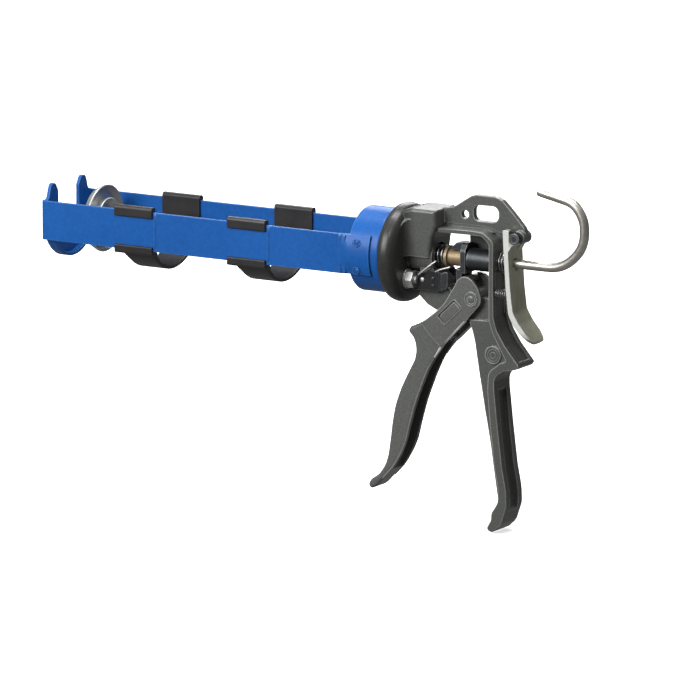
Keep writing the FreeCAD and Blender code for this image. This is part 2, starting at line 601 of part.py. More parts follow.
# ================================================================ pins
pin = rod("pivot_pin_shaft", D["pivot_x"], -10.6, D["pivot_z"], "Y",
          "Dims.pivot_pin_rad", "21.2 mm")
keep(pin, "trigger_pivot_pin")
hp = Part.makeCylinder(D["hinge_pin_rad"], 16.3, V(D["hinge_x"], -9.9, D["hinge_z"]), V(0, 1, 0))
hp = hp.fuse(Part.makeCylinder(2.8, 1.0, V(D["hinge_x"], 5.9, D["hinge_z"]), V(0, 1, 0)))
hp = hp.removeSplitter()
keep(shape("hinge_pin_shape", hp), "lever_hinge_pin")
clip = Part.makeCylinder(3.6, 0.7, V(D["hinge_x"], -10.3, D["hinge_z"]), V(0, 1, 0)).cut(
    Part.makeCylinder(D["hinge_pin_rad"], 3, V(D["hinge_x"], -11.5, D["hinge_z"]), V(0, 1, 0)))
keep(shape("hinge_clip_shape", clip), "hinge_pin_clip")
peg = Part.makeCylinder(1.2, 4.5, V(314.6, -5.6, -18.8), V(1, 0, 0)).fuse(
    Part.makeCylinder(2.2, 2.3, V(318.75, -5.6, -18.8), V(1, 0, 0))).removeSplitter()
keep(shape("peg_shape", peg), "spring_peg")

# ================================================================ springs
def coil(node, x0, x1, mean, wire, turns, y=0.0, z=0.0):
    """Round-wire compression coil along X with closed ends."""
    pitch = (x1 - x0 - wire) / turns
    helix = Part.makeHelix(pitch, x1 - x0 - wire, mean)
    circ = Part.Wire(Part.makeCircle(wire / 2, V(mean, 0, 0), V(0, 1, 0)))
    solid = Part.Wire(helix.Edges).makePipeShell([circ], True, True)
    solid.rotate(V(0, 0, 0), V(0, 1, 0), 90)
    solid.translate(V(x0 + wire / 2, y, z))
    return keep(shape(node + "_shape", solid), node)


coil("drive_spring", D["spring_seat"] + 0.05, D["driver_front"] - 0.1, 6.4, 1.5, 5)
coil("brake_spring", D["wall_out"] + 0.05, 325.0, 6.3, 1.3, 2.5)
coil("lever_spring", D["wall_out"] + 0.05, 327.0, 2.85, 0.8, 5, -5.6, -18.8)

# ================================================================ driver
dx0, dx1, dx2 = D["driver_front"], D["driver_mid"], D["driver_rear"]
db = rod("driver_collar", dx0, 0, 0, "X", "Dims.driver_rad", "1.7 mm")
dq = rod("driver_round", dx0 + 1, 0, 0, "X", "Dims.driver_bush", "10.7 mm")
dbore = rod("driver_bore", 275, 0, 0, "X", "Dims.run_bore", "30 mm")
keep(cut("driver_cut", fuse("driver_join", db, dq), dbore), "driver_block")
# cranked plate: the lower leg meets the trigger's cross bar, the head stands behind the bush
dp = pad("driver_plate_leg", "YZ_Plane", [[(-6.6, -15.6, 1.5), (6.6, -15.6, 1.5),
                                           (6.6, -6.1), (-6.6, -6.1)]],
         "Dims.driver_rear - Dims.driver_mid", "Dims.driver_mid")
dh = pad("driver_plate_head", "YZ_Plane", [[(-6.6, -8.4), (6.6, -8.4),
                                            (6.6, 5.6, 4.0), (3.6, 10.2, 2.0),
                                            (-3.6, 10.2, 2.0), (-6.6, 5.6, 4.0)]],
         "3.7 mm", "Dims.driver_mid + 2.65")
dl = pad("driver_lug", "XZ_Plane", [[(285.6, 5.6), (285.6, 6.6, 0.6), (289.4, 10.2, 1.0),
                                     (dx1 + 3.0, 10.2), (dx1 + 3.0, 5.6)]], "8.4 mm",
         symmetric=True)
dpb = rod("driver_plate_bore", 275, 0, 0, "X", "Dims.run_bore", "30 mm")
keep(cut("driver_plate_cut", fuse("driver_plate_join", dp, dh, dl), dpb), "driver_plate")

# ================================================================ trigger
TR = [(310.3, -22.5, 7.0), (309.4, -26.3, 5.0), (305.1, -31.2, 8), (299.7, -37.0, 40),
      (291.0, -45.2, 40), (282.5, -54.4, 60), (276.4, -63.2, 60), (271.4, -71.6, 60),
      (266.5, -83.0, 80), (262.0, -95.0, 80), (258.0, -109.0, 80), (255.4, -119.0, 60),
      (251.5, -127.8, 40), (246.0, -136.6, 40), (239.2, -144.0, 30), (233.0, -150.4, 20)]
TF = [(229.2, -151.9, 1.6), (227.6, -148.8, 1.6), (229.7, -145.5, 2.5), (235.5, -141.6, 12),
      (239.8, -135.3, 20), (242.0, -128.6, 30), (243.4, -118.8, 60), (244.9, -107.2, 60),
      (247.0, -96.1, 60), (251.3, -84.7, 60), (257.1, -73.3, 40), (260.9, -66.3, 12),
      (262.1, -60.6, 12), (261.6, -56.0, 12), (259.9, -52.0, 6), (256.4, -48.4, 1.9),
      (258.0, -45.5, 2.2), (264.2, -42.8, 12)]
low_out = TR[2:] + TF + [(270.1, -39.8, 20), (278.7, -33.1, 20), (288.5, -26.0)]
grip_t = pad("trigger_grip", "XZ_Plane", [low_out], "2 * Dims.trigger_half", symmetric=True)
grip_t = round_edges("trigger_round", grip_t, 2.0, lambda e: (
    abs(abs(e.BoundBox.YMin) - D["trigger_half"]) < 0.01 and e.BoundBox.YLength < 0.01
    and e.BoundBox.ZMin > -147 and e.BoundBox.ZMax < -44 and (
        e.CenterOfMass.x < 264.5 and e.CenterOfMass.x < 262.5 - (-58 - e.CenterOfMass.z) * 0.12)
    and e.CenterOfMass.x < (250.0 if e.CenterOfMass.z < -80 else 263.0)))
# hollow open to the rear
hollow = pad("trigger_hollow", "XZ_Plane", [[
    (312.0, -20.0), (289.0, -27.5), (279.5, -35.6, 20), (270.8, -42.6, 10), (265.8, -47.5, 5),
    (264.8, -55.0, 10), (265.0, -62.0, 12), (263.2, -68.5, 20), (257.6, -80.0, 50),
    (252.6, -91.0, 60), (249.6, -103.0, 60), (247.4, -117.0, 60), (245.8, -128.0, 30),
    (243.2, -136.0, 10), (248.0, -141.0), (262.0, -126.0), (268.0, -100.0), (282.0, -68.0),
    (300.0, -47.0), (320.0, -34.0)]],
    "2 * 5.8 mm", symmetric=True)
# the hollow is wider where the trigger straddles the casting
straddle = pad("trigger_straddle", "XZ_Plane", [[
    (318.0, -4.0), (284.0, -4.0), (284.0, -25.0), (276.0, -33.6, 10), (269.0, -40.2, 6),
    (270.6, -46.6, 4), (277.0, -53.0, 10), (290.0, -58.0), (318.0, -36.0)]],
    "2 * Dims.cheek_in", symmetric=True)
cheek_line = [(287.7, -22.0, 12), (291.5, -15.9, 12), (293.6, -11.9, 4.0), (297.2, -9.5, 4.0),
              (301.0, -9.7, 5.0), (304.6, -12.0, 6.0), (308.2, -16.7, 8), TR[0], TR[1],
              (305.1, -31.2, 8), (299.7, -37.0, 40), (291.0, -45.2, 40), (281.2, -55.6),
              (272.3, -47.8, 30), (267.0, -41.4), (270.1, -39.8, 20), (278.7, -33.1, 20),
              (284.0, -28.0, 20)]
cheek_a = pad("trigger_cheeks", "XZ_Plane", [cheek_line], "2 * Dims.cheek_out", symmetric=True)
# shallow blank panel in the near cheek
panel_cut = pad("cheek_recess", "XZ_Plane", [[(291.2, -24.4, 1.2), (297.0, -29.4, 1.2),
                                             (284.4, -41.5, 1.2), (279.0, -36.1, 1.2)]],
                "1.2 mm", "Dims.cheek_out - 0.6")
bossn = rod("cheek_boss_near", D["pivot_x"], -D["cheek_out"] - 0.4, D["pivot_z"], "Y",
            "4.4 mm", "1 mm")
bossf = rod("cheek_boss_far", D["pivot_x"], D["cheek_out"] - 0.6, D["pivot_z"], "Y",
            "4.4 mm", "1 mm")
trig = cut("trigger_shell", fuse("trigger_solid", grip_t, cheek_a), hollow, straddle)
# cross bar that pushes the driver plate
bar = rod("trigger_bar", 297.2, -8.3, -12.7, "Y", "Dims.bar_rad", "16.6 mm")
trig = fuse("trigger_bar_join", trig, bar, bossn, bossf)
tpin = rod("trigger_pin_bore", D["pivot_x"], -14, D["pivot_z"], "Y", "2.56 mm", "28 mm")
trig = cut("trigger_cut", trig, tpin, panel_cut)
keep(trig, "trigger")

# ================================================================ release lever
lt, lh = D["lever_thick"], D["lever_half"]
lever_side = [(324.9, 22.0, 0.8), (325.9, 4.0), (327.2, -14.1, 60), (329.0, -30.6, 10),
              (333.0, -37.8, 10), (339.3, -44.6, 20), (344.0, -49.3, 1.0),
              (346.2, -47.4, 1.0), (342.2, -42.6, 20), (336.4, -35.8, 8),
              (332.2, -29.0, 8), (330.3, -14.0, 60), (329.0, 4.0), (328.0, 22.0, 0.8)]
lever_body = pad("lever_strip", "XZ_Plane", [lever_side], "2 * Dims.lever_half",
                 symmetric=True)
# the thumb end is a half round seen square to the tab
tab_keep = shape("lever_outline", None or Part.Face(Part.Wire([
    Part.makeLine(V(0, -lh, 30), V(0, -lh, -41.5)),
    Part.Arc(V(0, -lh, -41.5), V(0, 0, -49.4), V(0, lh, -41.5)).toShape(),
    Part.makeLine(V(0, lh, -41.5), V(0, lh, 30)),
    Part.makeLine(V(0, lh, 30), V(0, -lh, 30))])).extrude(V(40, 0, 0)))
tab_keep.Placement = FreeCAD.Placement(V(315, 0, 0), FreeCAD.Rotation())
strip = common("lever_strip_trim", lever_body, tab_keep)
ears = pad("lever_ears", "XZ_Plane", [[(326.0, 22.0, 1.0), (333.0, 21.9, 3.4),
                                       (337.5, 18.6, 3.4), (336.4, 13.2, 3.4),
                                       (331.4, 12.9, 3.0), (328.6, 8.0, 3.0), (326.5, 6.0)]],
           "2 * Dims.lever_half", symmetric=True)
ear_gap = block("lever_ear_gap", (328.4, -7.5, -5), (345, 4.15, 30))
ear_far = block("lever_ear_far", (315, 5.8, 12.8), (345, 14, 30))
ears = cut("lever_ears_cut", ears, ear_gap)
top_gap = block("lever_top_gap", (320, -4.3, 13.4), (331, 4.3, 30))
hole_a = rod("lever_hole_a", 318, 0, -1.3, "X", "Dims.lever_hole", "20 mm")
hole_b = rod("lever_hole_b", 318, 0, 0.3, "X", "Dims.lever_hole", "20 mm")
lpin = rod("lever_pin_bore", D["hinge_x"], -14, D["hinge_z"], "Y", "2.36 mm", "28 mm")
keep(cut("lever_cut", fuse("lever_join", strip, ears), hole_a, hole_b, lpin, top_gap, ear_far),
     "release_lever")

# ================================================================ piston
pf, pr_ = D["piston_front"], D["piston_rad"]
dish = revolve("piston_turn", [(pf, 4.85), (pf, pr_ - 2.4, 1.4), (pf + 4.6, pr_ - 0.2, 1.2),
                               (pf + 5.2, pr_ - 1.4, 0.5), (pf + 1.6, pr_ - 4.4, 1.4),
                               (pf + 1.6, 3.06), (pf + 1.5, 3.06)])
keep(dish, "piston_plate")
cup = revolve("cup_turn", [(pf + 1.62, 3.05), (pf + 1.62, 10.5, 1.0), (pf + 7.2, 13.4, 0.7),
                           (pf + 7.9, 12.6, 0.6), (pf + 3.2, 9.4, 1.5), (pf + 3.0, 6.2, 1.0),
                           (pf + 8.0, 5.6, 1.0), (pf + 8.0, 3.05)])
keep(cup, "piston_cup")
pn = []
px0 = pf + 8.05
hexpts = [V(px0, 5.77 * math.cos(math.radians(a + 30)), 5.77 * math.sin(math.radians(a + 30)))
          for a in range(0, 360, 60)]
nut = Part.Face(Part.makePolygon(hexpts + [hexpts[0]])).extrude(V(5, 0, 0)).cut(
    Part.makeCylinder(3.0, 8, V(px0 - 1, 0, 0), V(1, 0, 0)))
keep(shape("piston_nut_shape", nut), "piston_nut")
# ================================================================ rod with hook
hs = D["hook_start"]
path_pts = [(pf + 0.05, 0.0), (hs + 14.0, 0.0, 24.5), (377.6, 14.6, 24.5), (377.6, 31.7, 20.0),
            (370.2, 41.6, 14.0), (345.2, 46.9)]
segs = segments([(a, b) + tuple(c) for a, b, *c in path_pts], closed=False)
edges = [g.toShape() for g in segs]
for e in edges:
    e.rotate(V(0, 0, 0), V(1, 0, 0), 90)
wire = Part.Wire(edges)
prof = Part.Wire(Part.makeCircle(D["rod_rad"], V(pf + 0.05, 0, 0), V(1, 0, 0)))
tube = wire.makePipeShell([prof], True, False)
print("rod volume ratio", tube.Volume / (math.pi * 9 * wire.Length), tube.isValid())
print("hook radii", [round(e.Curve.Radius, 1) for e in edges if hasattr(e.Curve, "Radius")])
stub = Part.makeCone(4.7, 3.0, 1.42, V(pf + 0.05, 0, 0), V(1, 0, 0))
tube = tube.fuse(stub).removeSplitter()
ends = [e for e in tube.Edges if e.BoundBox.XMin > 342 and e.BoundBox.XMax < 348.5
        and e.BoundBox.ZMin > 40 and e.Length > 15 and e.Length < 22]
try:
    tube2 = tube.makeFillet(0.8, ends)
    if tube2.isValid():
        tube = tube2
except Exception as err:
    print("hook end left square", err)
keep(shape("rod_shape", tube), "thrust_rod")

# ================================================================ write
doc.recompute()
failed = [o.Name for o in doc.Objects if "Invalid" in o.State or "Error" in o.State]
if failed:
    raise RuntimeError("failed objects: " + ", ".join(failed))
os.makedirs("parts", exist_ok=True)
for node, obj in NODES.items():
    s = obj.Shape
    if s.isNull() or not s.isValid():
        raise RuntimeError("bad shape " + node)
    b = s.BoundBox
    print("%-20s solids %d vol %9.1f  x %.1f..%.1f y %.1f..%.1f z %.1f..%.1f" % (
        node, len(s.Solids), s.Volume, b.XMin, b.XMax, b.YMin, b.YMax, b.ZMin, b.ZMax))
for node, obj in NODES.items():
    obj.Shape.exportStep(os.path.join("parts", node + ".step"))
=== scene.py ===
import math
import bmesh
import bpy
from mathutils import Matrix, Vector


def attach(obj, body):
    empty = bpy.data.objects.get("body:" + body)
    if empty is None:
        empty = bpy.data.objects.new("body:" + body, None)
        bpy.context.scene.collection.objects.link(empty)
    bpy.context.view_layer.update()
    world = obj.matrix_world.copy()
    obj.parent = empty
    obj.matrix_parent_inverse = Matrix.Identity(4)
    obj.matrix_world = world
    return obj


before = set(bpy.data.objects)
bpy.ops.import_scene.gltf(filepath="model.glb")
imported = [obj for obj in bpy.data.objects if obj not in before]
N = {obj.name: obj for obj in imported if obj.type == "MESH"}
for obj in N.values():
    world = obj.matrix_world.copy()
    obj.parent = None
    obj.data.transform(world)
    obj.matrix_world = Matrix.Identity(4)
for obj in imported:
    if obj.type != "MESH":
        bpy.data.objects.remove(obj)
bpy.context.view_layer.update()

MM = 0.001


# ---------------------------------------------------------------- materials
def nt_new(name):
    m = bpy.data.materials.new(name)
    m.use_nodes = True
    nt = m.node_tree
    nt.nodes.clear()
    out = nt.nodes.new("ShaderNodeOutputMaterial")
    b = nt.nodes.new("ShaderNodeBsdfPrincipled")
    nt.links.new(b.outputs[0], out.inputs[0])
    co = nt.nodes.new("ShaderNodeTexCoord")
    return m, nt, b, co.outputs["Object"]


def noise(nt, co, scale, detail=4.0, rough=0.55, stretch=None):
    n = nt.nodes.new("ShaderNodeTexNoise")
    n.inputs["Scale"].default_value = scale
    n.inputs["Detail"].default_value = detail
    n.inputs["Roughness"].default_value = rough
    if stretch is not None:
        mp = nt.nodes.new("ShaderNodeMapping")
        mp.inputs["Scale"].default_value = stretch
        nt.links.new(co, mp.inputs["Vector"])
        nt.links.new(mp.outputs[0], n.inputs["Vector"])
    else:
        nt.links.new(co, n.inputs["Vector"])
    return n.outputs["Fac"]


def ramp(nt, fac, stops):
    r = nt.nodes.new("ShaderNodeValToRGB")
    els = r.color_ramp.elements
    while len(els) < len(stops):
        els.new(0.5)
    for e, (p, c) in zip(els, stops):
        e.position = p
        e.color = (c[0], c[1], c[2], 1.0) if hasattr(c, "__len__") else (c, c, c, 1.0)
    nt.links.new(fac, r.inputs[0])
    return r.outputs[0]


def mixc(nt, fac, a, b, kind="MIX"):
    x = nt.nodes.new("ShaderNodeMix")
    x.data_type = "RGBA"
    x.blend_type = kind
    for sock, v in ((x.inputs[0], fac), (x.inputs[6], a), (x.inputs[7], b)):
        if isinstance(v, bpy.types.NodeSocket):
            nt.links.new(v, sock)
        elif hasattr(v, "__len__"):
            sock.default_value = (v[0], v[1], v[2], 1.0)
        else:
            sock.default_value = v
    return x.outputs[2]


def bump(nt, height, strength, dist, edge=0.0005):
    bv = nt.nodes.new("ShaderNodeBevel")
    bv.samples = 6
    bv.inputs["Radius"].default_value = edge
    bm_ = nt.nodes.new("ShaderNodeBump")
    bm_.inputs["Strength"].default_value = strength
    bm_.inputs["Distance"].default_value = dist
    nt.links.new(height, bm_.inputs["Height"])
    nt.links.new(bv.outputs[0], bm_.inputs["Normal"])
    return bm_.outputs[0]


def edge_wear_and_highlight_mask(nt, co, scale=60.0, edge=0.0012):
    """Edge mask for rubbed-edge wear and a painted edge highlight: where the rounded-corner
    normal leaves the flat normal, on raised corners only, broken up a little by noise."""
    bv = nt.nodes.new("ShaderNodeBevel")
    bv.samples = 6
    bv.inputs["Radius"].default_value = edge
    g = nt.nodes.new("ShaderNodeNewGeometry")
    d = nt.nodes.new("ShaderNodeVectorMath")
    d.operation = "DOT_PRODUCT"
    nt.links.new(bv.outputs[0], d.inputs[0])
    nt.links.new(g.outputs["Normal"], d.inputs[1])
    e = ramp(nt, d.outputs["Value"], [(0.88, 1.0), (0.985, 0.0)])
    p = ramp(nt, g.outputs["Pointiness"], [(0.488, 0.0), (0.512, 1.0)])
    n = ramp(nt, noise(nt, co, scale, 5.0, 0.7), [(0.30, 0.55), (0.62, 1.0)])
    m = nt.nodes.new("ShaderNodeMath")
    m.operation = "MULTIPLY"
    nt.links.new(e, m.inputs[0])
    nt.links.new(p, m.inputs[1])
    m2 = nt.nodes.new("ShaderNodeMath")
    m2.operation = "MULTIPLY"
    nt.links.new(m.outputs[0], m2.inputs[0])
    nt.links.new(n, m2.inputs[1])
    return m2.outputs[0]


def finish_mat(name, dark, mid, light, rough, metal=0.0, scale=14.0, coat=0.0,
               coat_rough=0.1, grain=900.0, grain_h=0.00002, grain_s=0.35,
               stretch=None, edge=0.0005, edge_wear_and_highlight=None, edge_wear_and_highlight_amt=0.0, ior=1.5, spec=0.5,
               speck=0.22, cut_edge_highlight=None, hinge=(0.3289, 0.0115, 0.0140), painted_flange_shade=None):
    m, nt, b, co = nt_new(name)
    big = noise(nt, co, scale, 4.0, 0.6)
    col = ramp(nt, big, [(0.30, dark), (0.52, mid), (0.74, light)])
    fine = noise(nt, co, grain, 3.0, 0.6, stretch)
    col = mixc(nt, speck, col, ramp(nt, fine, [(0.35, tuple(v * 0.66 for v in mid)),
                                               (0.65, tuple(min(1, v * 1.36) for v in mid))]))
    # painted edge highlight, also standing for rubbed-edge wear: a lighter colour mixed in on
    # raised edges
    if edge_wear_and_highlight is not None:
        w = edge_wear_and_highlight_mask(nt, co)
        wa = nt.nodes.new("ShaderNodeMath")
        wa.operation = "MULTIPLY"
        wa.inputs[1].default_value = edge_wear_and_highlight_amt
        nt.links.new(w, wa.inputs[0])
        col = mixc(nt, wa.outputs[0], col, edge_wear_and_highlight)
    b.inputs["Metallic"].default_value = metal
    if painted_flange_shade is not None:
        # painted shade: base colour multiplied down and specular lowered towards the front
        # flange (X below the range)
        sx = nt.nodes.new("ShaderNodeSeparateXYZ")
        nt.links.new(co, sx.inputs[0])
        sr = nt.nodes.new("ShaderNodeMapRange")
        sr.inputs["From Min"].default_value = painted_flange_shade[0]
        sr.inputs["From Max"].default_value = painted_flange_shade[1]
        sr.inputs["To Min"].default_value = painted_flange_shade[2]
        sr.inputs["To Max"].default_value = 1.0
        nt.links.new(sx.outputs["X"], sr.inputs[0])
        col = mixc(nt, 1.0, col, sr.outputs[0], "MULTIPLY")
        ss = nt.nodes.new("ShaderNodeMapRange")
        ss.inputs["From Min"].default_value = painted_flange_shade[0]
        ss.inputs["From Max"].default_value = painted_flange_shade[1]
        ss.inputs["To Min"].default_value = spec * 0.5
        ss.inputs["To Max"].default_value = spec
        nt.links.new(sx.outputs["X"], ss.inputs[0])
        nt.links.new(ss.outputs[0], b.inputs["Specular IOR Level"])
    if cut_edge_highlight is not None:
        # sheared side edges of a sheet part, bare and satin, lifted to a bright colour that is
        # a painted highlight
        tc = nt.nodes.new("ShaderNodeTexCoord")
        sp = nt.nodes.new("ShaderNodeSeparateXYZ")
        nt.links.new(tc.outputs["Normal"], sp.inputs[0])
        ab = nt.nodes.new("ShaderNodeMath")
        ab.operation = "ABSOLUTE"
        nt.links.new(sp.outputs["Y"], ab.inputs[0])
        side = ramp(nt, ab.outputs[0], [(0.80, 0.0), (0.93, 1.0)])
        px = nt.nodes.new("ShaderNodeSeparateXYZ")
        nt.links.new(co, px.inputs[0])
        ear_shade_zone = nt.nodes.new("ShaderNodeMath")      # behind the strip, above the bend: zone of the painted shade on the hinge ear
        ear_shade_zone.operation = "MULTIPLY"
        fx = nt.nodes.new("ShaderNodeMapRange")
        fx.inputs["From Min"].default_value = hinge[0]
        fx.inputs["From Max"].default_value = hinge[0] + 0.0006
        nt.links.new(px.outputs["X"], fx.inputs[0])
        fz = nt.nodes.new("ShaderNodeMapRange")
        fz.inputs["From Min"].default_value = hinge[1]
        fz.inputs["From Max"].default_value = hinge[1] + 0.0016
        nt.links.new(px.outputs["Z"], fz.inputs[0])
        nt.links.new(fx.outputs[0], ear_shade_zone.inputs[0])
        nt.links.new(fz.outputs[0], ear_shade_zone.inputs[1])
        inv = nt.nodes.new("ShaderNodeMath")
        inv.operation = "SUBTRACT"
        inv.inputs[0].default_value = 1.0
        nt.links.new(ear_shade_zone.outputs[0], inv.inputs[1])
        sm = nt.nodes.new("ShaderNodeMath")
        sm.operation = "MULTIPLY"
        nt.links.new(side, sm.inputs[0])
        nt.links.new(inv.outputs[0], sm.inputs[1])
        side = sm.outputs[0]
        hi = nt.nodes.new("ShaderNodeMapRange")
        hi.inputs["From Min"].default_value = hinge[2]
        hi.inputs["From Max"].default_value = hinge[2] + 0.0015
        nt.links.new(px.outputs["Z"], hi.inputs[0])
        painted_ear_shade = nt.nodes.new("ShaderNodeMath")
        painted_ear_shade.operation = "MULTIPLY"
        nt.links.new(ear_shade_zone.outputs[0], painted_ear_shade.inputs[0])
        nt.links.new(hi.outputs[0], painted_ear_shade.inputs[1])
        # painted shade: near-black colour over the hinge ear, above the bend and above hinge[2]
        col = mixc(nt, painted_ear_shade.outputs[0], col, (0.028, 0.029, 0.028))
        col = mixc(nt, side, col, cut_edge_highlight)
        mr = nt.nodes.new("ShaderNodeMapRange")
        mr.inputs["To Min"].default_value = metal
        mr.inputs["To Max"].default_value = 0.25
        nt.links.new(side, mr.inputs[0])
        nt.links.new(mr.outputs[0], b.inputs["Metallic"])
    nt.links.new(col, b.inputs["Base Color"])
    rv = ramp(nt, noise(nt, co, scale * 5, 5.0, 0.65),
              [(0.30, rough[0]), (0.70, rough[1])])
    nt.links.new(rv, b.inputs["Roughness"])
    b.inputs["IOR"].default_value = ior
    b.inputs["Specular IOR Level"].default_value = spec
    b.inputs["Coat Weight"].default_value = coat
    b.inputs["Coat Roughness"].default_value = coat_rough
    nt.links.new(bump(nt, fine, grain_s, grain_h, edge), b.inputs["Normal"])
    return m


M = {
    "blue_paint": finish_mat("blue_paint", (0.0055, 0.074, 0.285), (0.0070, 0.085, 0.325),
                             (0.0100, 0.097, 0.360), (0.36, 0.48), scale=9.0, coat=0.10,
                             coat_rough=0.24, grain=420.0, grain_h=0.00012, grain_s=0.10,
                             edge=0.0007, edge_wear_and_highlight=(0.14, 0.30, 0.60), edge_wear_and_highlight_amt=0.45,
                             spec=0.20),
    "saddle_plastic": finish_mat("saddle_plastic", (0.011, 0.010, 0.0105),
                                 (0.016, 0.0145, 0.015), (0.024, 0.021, 0.021),
                                 (0.34, 0.46), scale=20.0, grain=1500.0,
                                 grain_h=0.00004, grain_s=0.30, edge=0.0008,
                                 edge_wear_and_highlight=(0.07, 0.065, 0.065), edge_wear_and_highlight_amt=0.5, spec=0.45),
    # powder coat: painted edge highlight on raised edges, painted shade on the front flange
    "powder_coat": finish_mat("powder_coat", (0.064, 0.066, 0.061),
                              (0.074, 0.077, 0.072), (0.086, 0.089, 0.083),
                              (0.30, 0.42), scale=11.0, coat=0.20, coat_rough=0.25,
                              grain=900.0, grain_h=0.00012, grain_s=0.50, edge=0.0011,
                              edge_wear_and_highlight=(0.50, 0.51, 0.49), edge_wear_and_highlight_amt=0.85, spec=0.5,
                              speck=0.55, painted_flange_shade=(0.2572, 0.2650, 0.38)),
    "powder_coat_alloy": finish_mat("powder_coat_alloy", (0.084, 0.087, 0.080),
                                    (0.098, 0.101, 0.094), (0.112, 0.115, 0.107),
                                    (0.30, 0.42), scale=12.0, coat=0.20, coat_rough=0.25,
                                    grain=900.0, grain_h=0.00012, grain_s=0.50,
                                    edge=0.0012, edge_wear_and_highlight=(0.54, 0.55, 0.53), edge_wear_and_highlight_amt=0.85,
                                    spec=0.5, speck=0.55),
    "zinc": finish_mat("zinc", (0.46, 0.465, 0.45), (0.56, 0.565, 0.545),
                       (0.68, 0.68, 0.66), (0.40, 0.56), metal=0.92, scale=40.0,
                       grain=700.0, grain_h=0.00003, grain_s=0.35, edge=0.0004,
                       edge_wear_and_highlight=(0.85, 0.85, 0.83), edge_wear_and_highlight_amt=0.5),
    # release lever: painted highlight on the sheared side edges, painted shade on the hinge ear
    "zinc_olive": finish_mat("zinc_olive", (0.36, 0.36, 0.275), (0.48, 0.48, 0.37),
                             (0.60, 0.595, 0.47), (0.34, 0.50), metal=0.80, scale=26.0,
                             grain=520.0, grain_h=0.00005, grain_s=0.35,
                             stretch=(1.0, 1.0, 0.10), edge=0.0005,
                             edge_wear_and_highlight=(0.80, 0.80, 0.76), edge_wear_and_highlight_amt=0.6,
                             cut_edge_highlight=(0.64, 0.65, 0.62)),
    "rod_steel": finish_mat("rod_steel", (0.38, 0.365, 0.33), (0.47, 0.452, 0.41),
                            (0.57, 0.55, 0.50), (0.33, 0.45), metal=0.92, scale=30.0,
                            grain=500.0, grain_h=0.00004, grain_s=0.25,
                            stretch=(0.08, 1.0, 1.0), edge=0.0003),
    "blued_steel": finish_mat("blued_steel", (0.036, 0.039, 0.042), (0.052, 0.056, 0.060),
                              (0.074, 0.079, 0.084), (0.38, 0.52), metal=0.85, scale=50.0,
                              grain=900.0, grain_h=0.00003, grain_s=0.3, edge=0.0005,
                              edge_wear_and_highlight=(0.42, 0.42, 0.42), edge_wear_and_highlight_amt=0.6),
    "spring_steel": finish_mat("spring_steel", (0.16, 0.16, 0.165), (0.25, 0.25, 0.255),
                               (0.38, 0.38, 0.38), (0.24, 0.38), metal=1.0, scale=80.0,
                               grain=900.0, grain_h=0.00002, grain_s=0.3, edge=0.0002),
    "bronze": finish_mat("bronze", (0.24, 0.18, 0.105), (0.32, 0.245, 0.15),
                         (0.42, 0.33, 0.21), (0.46, 0.62), metal=0.72, scale=60.0,
                         grain=800.0, grain_h=0.00004, grain_s=0.35, edge=0.0005,
                         edge_wear_and_highlight=(0.72, 0.62, 0.46), edge_wear_and_highlight_amt=0.6),
    # painted highlight: near-white coat standing for the bright rolled corner of the trigger
    "painted_highlight_edge": finish_mat("painted_highlight_edge", (0.48, 0.485, 0.47), (0.60, 0.605, 0.585),
                              (0.70, 0.705, 0.685), (0.28, 0.40), metal=0.15, scale=60.0,
                              grain=900.0, grain_h=0.00003, grain_s=0.3, edge=0.0003),
    # painted highlight: a lighter copy of the trigger coat for rims, beads and badge rings
    "rim_highlight_coat": finish_mat("rim_highlight_coat", (0.13, 0.134, 0.126), (0.16, 0.165, 0.155),
                           (0.20, 0.205, 0.195), (0.28, 0.40), scale=30.0, coat=0.2,
                           coat_rough=0.2, grain=900.0, grain_h=0.00006, grain_s=0.4,
                           edge=0.0003),
    "black_oxide": finish_mat("black_oxide", (0.010, 0.010, 0.011), (0.015, 0.015, 0.017),
                              (0.024, 0.024, 0.026), (0.36, 0.52), metal=0.4, scale=60.0,
                              grain=900.0, grain_h=0.00004, grain_s=0.35, edge=0.0005,
                              edge_wear_and_highlight=(0.22, 0.22, 0.22), edge_wear_and_highlight_amt=0.7),
    "red_fibre": finish_mat("red_fibre", (0.25, 0.018, 0.010), (0.36, 0.030, 0.016),
                            (0.46, 0.05, 0.026), (0.45, 0.60), scale=60.0,
                            grain=1500.0, grain_h=0.00003, grain_s=0.4, edge=0.0002),
}
slot_of = {
    "body_casting": "powder_coat", "friction_washer": "red_fibre",
    "retainer_plate": "zinc", "retainer_screws": "zinc", "head_nuts": "zinc",
    "head_studs": "zinc", "head_washers": "zinc", "front_bush": "bronze",
    "rear_sleeve": "blued_steel", "trigger_pivot_pin": "blued_steel",
    "lever_hinge_pin": "blued_steel", "hinge_pin_clip": "blued_steel",
    "spring_peg": "zinc", "drive_spring": "spring_steel",
    "brake_spring": "spring_steel", "lever_spring": "spring_steel",
    "front_plate": "blue_paint", "near_strap": "blue_paint", "far_strap": "blue_paint",
    "carriage_ring": "blue_paint", "strap_rivets": "blue_paint",
    "front_saddle": "saddle_plastic", "rear_saddle": "saddle_plastic",
    "piston_plate": "zinc", "piston_cup": "zinc", "piston_nut": "zinc",
    "thrust_rod": "rod_steel", "driver_block": "bronze",
    "driver_plate": "blued_steel", "trigger": "powder_coat_alloy",
    "release_lever": "zinc"}


def paint(obj, name):
    obj.data.materials.clear()
    obj.data.materials.append(M[name])


for name, o in N.items():
    paint(o, slot_of.get(name, "zinc"))
paint(N["release_lever"], "zinc_olive")


